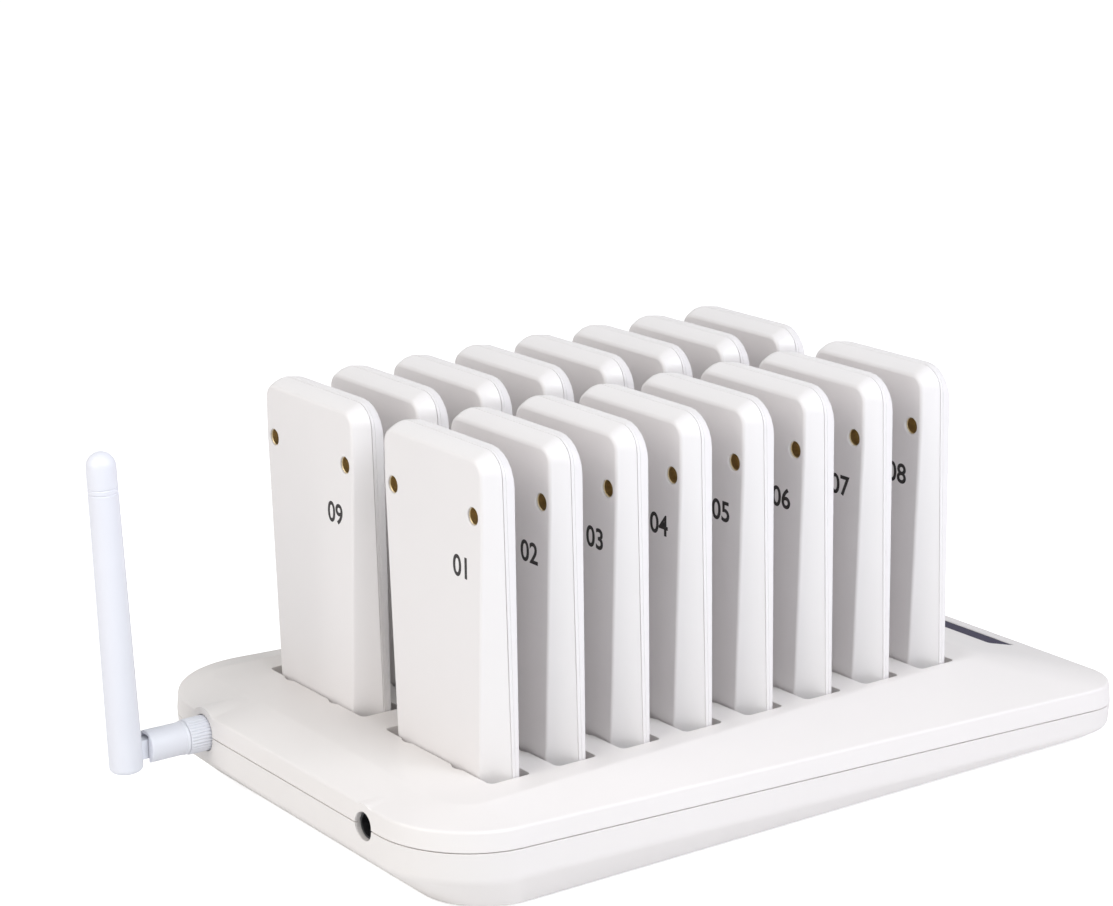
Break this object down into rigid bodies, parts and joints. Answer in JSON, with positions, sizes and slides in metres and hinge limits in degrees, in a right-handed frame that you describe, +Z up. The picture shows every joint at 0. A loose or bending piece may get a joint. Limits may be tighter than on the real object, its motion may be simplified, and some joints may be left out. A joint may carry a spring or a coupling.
{
  "type": "guest pager charging transmitter",
  "caption": "Low wedge-shaped charging base with two rows of upright slim pagers, a sloped keypad panel and a hinged antenna at the back.",
  "frame": {"origin": "on the table under the middle of the whole object's bounding box, antenna included", "axes": "+X from the antenna end to the keypad end, +Y from the first row of pagers to the second, +Z up"},
  "size_m": [0.2902, 0.169, 0.1209],
  "materials": {
    "casing": "moulded white ABS, fine satin texture",
    "pager_shell": "moulded white ABS, smooth satin",
    "key_rubber": "light grey silicone rubber",
    "window": "smoked clear plastic",
    "display": "display module with a black frame",
    "circuit_board": "green glass-epoxy board",
    "radio_can": "tinned steel can",
    "jack_plastic": "black moulded plastic",
    "socket_metal": "nickel-free brass",
    "nut_plastic": "white moulded plastic, knurled",
    "antenna_plastic": "white moulded plastic",
    "hinge_pin": "steel pin",
    "foot_rubber": "black rubber",
    "screw_steel": "zinc-plated steel"
  },
  "bodies": {
    "base": {"top_cover": "casing", "bottom_cover": "casing", "display_window": "window", "display_module": "display", "keypad_board": "circuit_board", "main_board": "circuit_board", "radio_module": "radio_can", "charging_board": "circuit_board", "power_jack": "jack_plastic", "antenna_socket": "socket_metal", "rubber_feet": "foot_rubber", "case_screws": "screw_steel"},
    "pager_01": {"pager_01_front_shell": "pager_shell", "pager_01_rear_assembly": "pager_shell"},
    "pager_02": {"pager_02_front_shell": "pager_shell", "pager_02_rear_assembly": "pager_shell"},
    "pager_03": {"pager_03_front_shell": "pager_shell", "pager_03_rear_assembly": "pager_shell"},
    "pager_04": {"pager_04_front_shell": "pager_shell", "pager_04_rear_assembly": "pager_shell"},
    "pager_05": {"pager_05_front_shell": "pager_shell", "pager_05_rear_assembly": "pager_shell"},
    "pager_06": {"pager_06_front_shell": "pager_shell", "pager_06_rear_assembly": "pager_shell"},
    "pager_07": {"pager_07_front_shell": "pager_shell", "pager_07_rear_assembly": "pager_shell"},
    "pager_08": {"pager_08_front_shell": "pager_shell", "pager_08_rear_assembly": "pager_shell"},
    "pager_09": {"pager_09_front_shell": "pager_shell", "pager_09_rear_assembly": "pager_shell"},
    "pager_10": {"pager_10_front_shell": "pager_shell", "pager_10_rear_assembly": "pager_shell"},
    "pager_11": {"pager_11_front_shell": "pager_shell", "pager_11_rear_assembly": "pager_shell"},
    "pager_12": {"pager_12_front_shell": "pager_shell", "pager_12_rear_assembly": "pager_shell"},
    "pager_13": {"pager_13_front_shell": "pager_shell", "pager_13_rear_assembly": "pager_shell"},
    "pager_14": {"pager_14_front_shell": "pager_shell", "pager_14_rear_assembly": "pager_shell"},
    "pager_15": {"pager_15_front_shell": "pager_shell", "pager_15_rear_assembly": "pager_shell"},
    "pager_16": {"pager_16_front_shell": "pager_shell", "pager_16_rear_assembly": "pager_shell"},
    "antenna_nut_body": {"antenna_nut": "nut_plastic"},
    "elbow": {"antenna_elbow": "antenna_plastic", "antenna_hinge_pin": "hinge_pin"},
    "mast": {"antenna_mast": "antenna_plastic"},
    "key_1_cap": {"key_1": "key_rubber"},
    "key_2_cap": {"key_2": "key_rubber"},
    "key_3_cap": {"key_3": "key_rubber"},
    "key_clear_cap": {"key_clear": "key_rubber"},
    "key_4_cap": {"key_4": "key_rubber"},
    "key_5_cap": {"key_5": "key_rubber"},
    "key_6_cap": {"key_6": "key_rubber"},
    "key_0_cap": {"key_0": "key_rubber"},
    "key_7_cap": {"key_7": "key_rubber"},
    "key_8_cap": {"key_8": "key_rubber"},
    "key_9_cap": {"key_9": "key_rubber"},
    "key_call_cap": {"key_call": "key_rubber"}
  },
  "joints": [
    {"name": "pager_01_lift", "type": "slide", "parent": "base", "child": "pager_01", "axis": [0, 0, 1], "range_m": [0, 0.016]},
    {"name": "pager_02_lift", "type": "slide", "parent": "base", "child": "pager_02", "axis": [0, 0, 1], "range_m": [0, 0.016]},
    {"name": "pager_03_lift", "type": "slide", "parent": "base", "child": "pager_03", "axis": [0, 0, 1], "range_m": [0, 0.016]},
    {"name": "pager_04_lift", "type": "slide", "parent": "base", "child": "pager_04", "axis": [0, 0, 1], "range_m": [0, 0.016]},
    {"name": "pager_05_lift", "type": "slide", "parent": "base", "child": "pager_05", "axis": [0, 0, 1], "range_m": [0, 0.016]},
    {"name": "pager_06_lift", "type": "slide", "parent": "base", "child": "pager_06", "axis": [0, 0, 1], "range_m": [0, 0.016]},
    {"name": "pager_07_lift", "type": "slide", "parent": "base", "child": "pager_07", "axis": [0, 0, 1], "range_m": [0, 0.016]},
    {"name": "pager_08_lift", "type": "slide", "parent": "base", "child": "pager_08", "axis": [0, 0, 1], "range_m": [0, 0.016]},
    {"name": "pager_09_lift", "type": "slide", "parent": "base", "child": "pager_09", "axis": [0, 0, 1], "range_m": [0, 0.016]},
    {"name": "pager_10_lift", "type": "slide", "parent": "base", "child": "pager_10", "axis": [0, 0, 1], "range_m": [0, 0.016]},
    {"name": "pager_11_lift", "type": "slide", "parent": "base", "child": "pager_11", "axis": [0, 0, 1], "range_m": [0, 0.016]},
    {"name": "pager_12_lift", "type": "slide", "parent": "base", "child": "pager_12", "axis": [0, 0, 1], "range_m": [0, 0.016]},
    {"name": "pager_13_lift", "type": "slide", "parent": "base", "child": "pager_13", "axis": [0, 0, 1], "range_m": [0, 0.016]},
    {"name": "pager_14_lift", "type": "slide", "parent": "base", "child": "pager_14", "axis": [0, 0, 1], "range_m": [0, 0.016]},
    {"name": "pager_15_lift", "type": "slide", "parent": "base", "child": "pager_15", "axis": [0, 0, 1], "range_m": [0, 0.016]},
    {"name": "pager_16_lift", "type": "slide", "parent": "base", "child": "pager_16", "axis": [0, 0, 1], "range_m": [0, 0.016]},
    {"name": "antenna_nut_turn", "type": "hinge", "parent": "base", "child": "antenna_nut_body", "pos_m": [-0.11194, 0.0415, 0.0206], "axis": [1, 0, 0], "range_deg": [0, 360]},
    {"name": "antenna_swivel", "type": "hinge", "parent": "base", "child": "elbow", "pos_m": [-0.11194, 0.0415, 0.0206], "axis": [1, 0, 0], "range_deg": [-90, 90]},
    {"name": "antenna_tilt", "type": "hinge", "parent": "elbow", "child": "mast", "pos_m": [-0.12684, 0.0415, 0.0206], "axis": [0, -1, 0], "range_deg": [0, 88]},
    {"name": "key_1_press", "type": "slide", "parent": "base", "child": "key_1_cap", "axis": [-0.2657, 0, -0.9641], "range_m": [0, 0.001], "stiffness_N_per_m": 600, "springref_m": -0.0005},
    {"name": "key_2_press", "type": "slide", "parent": "base", "child": "key_2_cap", "axis": [-0.2657, 0, -0.9641], "range_m": [0, 0.001], "stiffness_N_per_m": 600, "springref_m": -0.0005},
    {"name": "key_3_press", "type": "slide", "parent": "base", "child": "key_3_cap", "axis": [-0.2657, 0, -0.9641], "range_m": [0, 0.001], "stiffness_N_per_m": 600, "springref_m": -0.0005},
    {"name": "key_clear_press", "type": "slide", "parent": "base", "child": "key_clear_cap", "axis": [-0.2657, 0, -0.9641], "range_m": [0, 0.001], "stiffness_N_per_m": 600, "springref_m": -0.0005},
    {"name": "key_4_press", "type": "slide", "parent": "base", "child": "key_4_cap", "axis": [-0.2657, 0, -0.9641], "range_m": [0, 0.001], "stiffness_N_per_m": 600, "springref_m": -0.0005},
    {"name": "key_5_press", "type": "slide", "parent": "base", "child": "key_5_cap", "axis": [-0.2657, 0, -0.9641], "range_m": [0, 0.001], "stiffness_N_per_m": 600, "springref_m": -0.0005},
    {"name": "key_6_press", "type": "slide", "parent": "base", "child": "key_6_cap", "axis": [-0.2657, 0, -0.9641], "range_m": [0, 0.001], "stiffness_N_per_m": 600, "springref_m": -0.0005},
    {"name": "key_0_press", "type": "slide", "parent": "base", "child": "key_0_cap", "axis": [-0.2657, 0, -0.9641], "range_m": [0, 0.001], "stiffness_N_per_m": 600, "springref_m": -0.0005},
    {"name": "key_7_press", "type": "slide", "parent": "base", "child": "key_7_cap", "axis": [-0.2657, 0, -0.9641], "range_m": [0, 0.001], "stiffness_N_per_m": 600, "springref_m": -0.0005},
    {"name": "key_8_press", "type": "slide", "parent": "base", "child": "key_8_cap", "axis": [-0.2657, 0, -0.9641], "range_m": [0, 0.001], "stiffness_N_per_m": 600, "springref_m": -0.0005},
    {"name": "key_9_press", "type": "slide", "parent": "base", "child": "key_9_cap", "axis": [-0.2657, 0, -0.9641], "range_m": [0, 0.001], "stiffness_N_per_m": 600, "springref_m": -0.0005},
    {"name": "key_call_press", "type": "slide", "parent": "base", "child": "key_call_cap", "axis": [-0.2657, 0, -0.9641], "range_m": [0, 0.001], "stiffness_N_per_m": 600, "springref_m": -0.0005}
  ]
}
